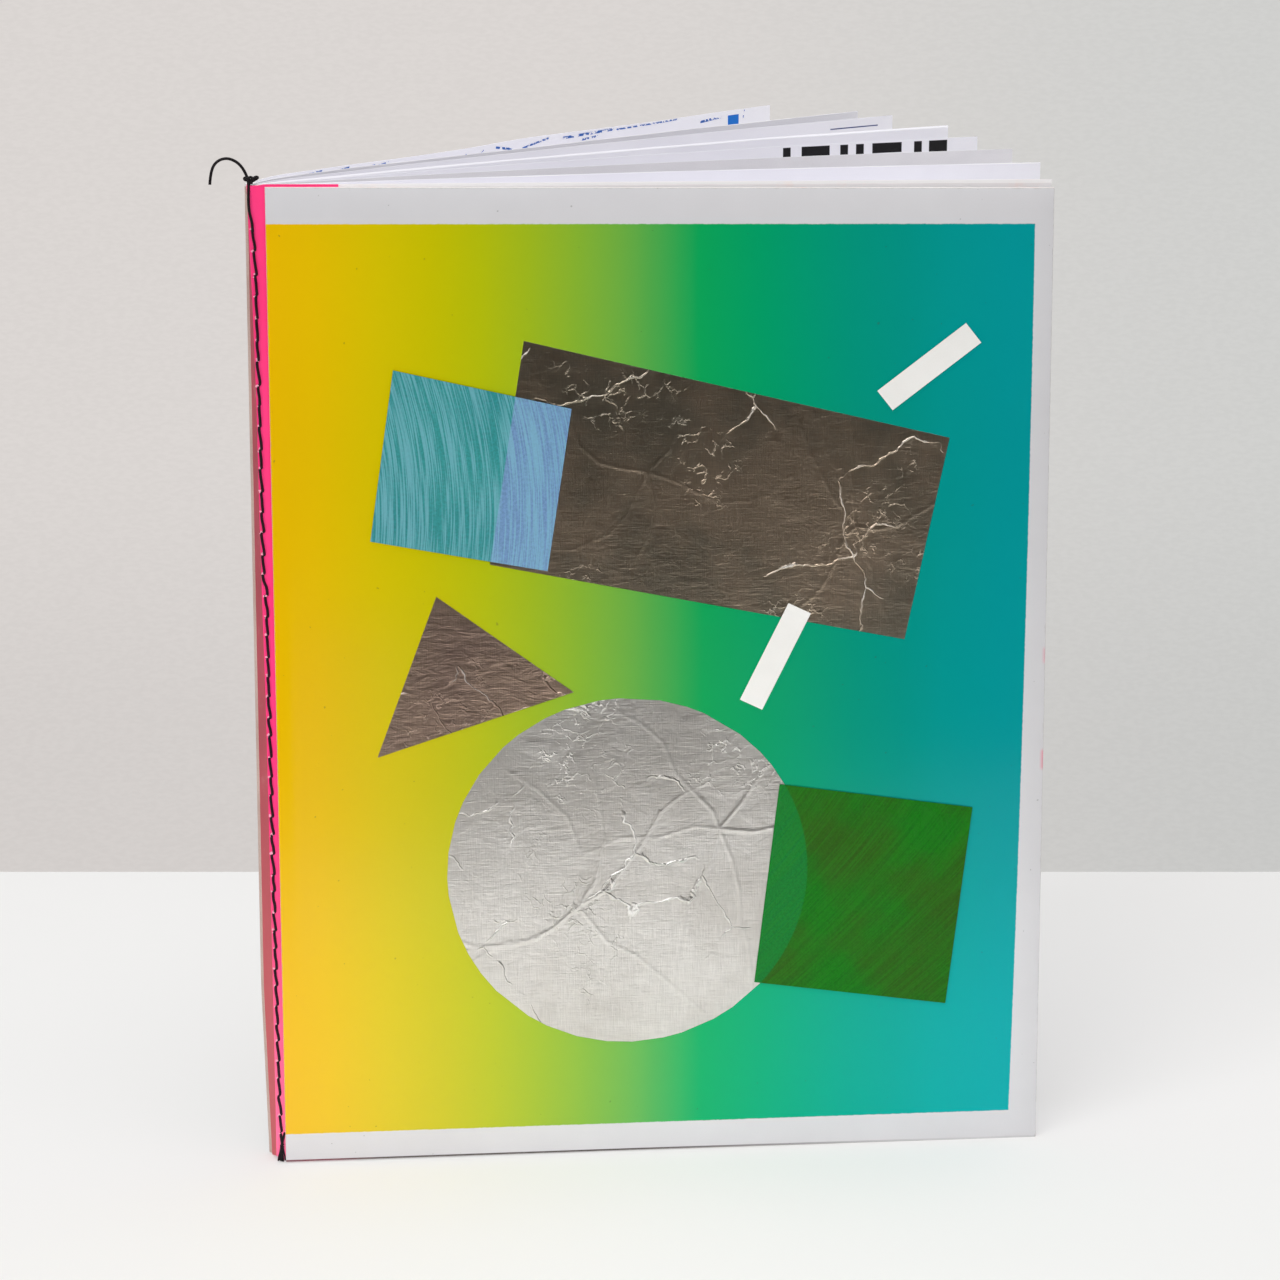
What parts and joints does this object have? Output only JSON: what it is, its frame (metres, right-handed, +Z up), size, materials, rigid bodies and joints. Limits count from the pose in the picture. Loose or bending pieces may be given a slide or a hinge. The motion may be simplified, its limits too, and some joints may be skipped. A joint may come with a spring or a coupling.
{
  "type": "hand-sewn zine",
  "caption": "Hand-sewn zine that stands on its foot with its leaves fanned open, a paper strip round the spine and cut pieces glued on the front cover.",
  "frame": {"origin": "foot of the stitch line, in the middle of the sewn fold, on the surface that the pages stand on", "axes": "+X along the front cover from the spine to the fore edge, +Y from the front cover towards the back cover, +Z up the spine from foot to head"},
  "size_m": [0.232, 0.1572, 0.2884],
  "materials": {
    "page_paper": "smooth heavy paper",
    "neon_paper": "bright pink paper",
    "thread": "waxed sewing thread",
    "cover_board": "stiff card, painted in a colour blend inside a plain margin",
    "dark_foil": "glued dark foil",
    "bright_foil": "glued bright foil",
    "brown_foil": "glued brownish foil",
    "green_film": "see-through film",
    "blue_film": "see-through film",
    "paper_tape": "matt paper tape"
  },
  "bodies": {
    "book": {"pages": "page_paper", "spine_strip": "neon_paper", "stitching": "thread", "loose_end": "thread", "head_knot": "thread", "foot_knot": "thread"},
    "front_board": {"front_cover": "cover_board", "dark_foil": "dark_foil", "bright_foil": "bright_foil", "small_foil": "brown_foil", "green_film": "green_film", "blue_film": "blue_film", "upper_tape": "paper_tape", "lower_tape": "paper_tape"},
    "back_board": {"back_cover": "cover_board"}
  },
  "joints": [
    {"name": "front_cover_hinge", "type": "hinge", "parent": "book", "child": "front_board", "pos_m": [0, -0.00157, 0], "axis": [0, 0, -1], "range_deg": [0, 150]},
    {"name": "back_cover_hinge", "type": "hinge", "parent": "book", "child": "back_board", "pos_m": [-0.0029, 0.00573, 0], "axis": [0, 0, 1], "range_deg": [0, 120]}
  ]
}
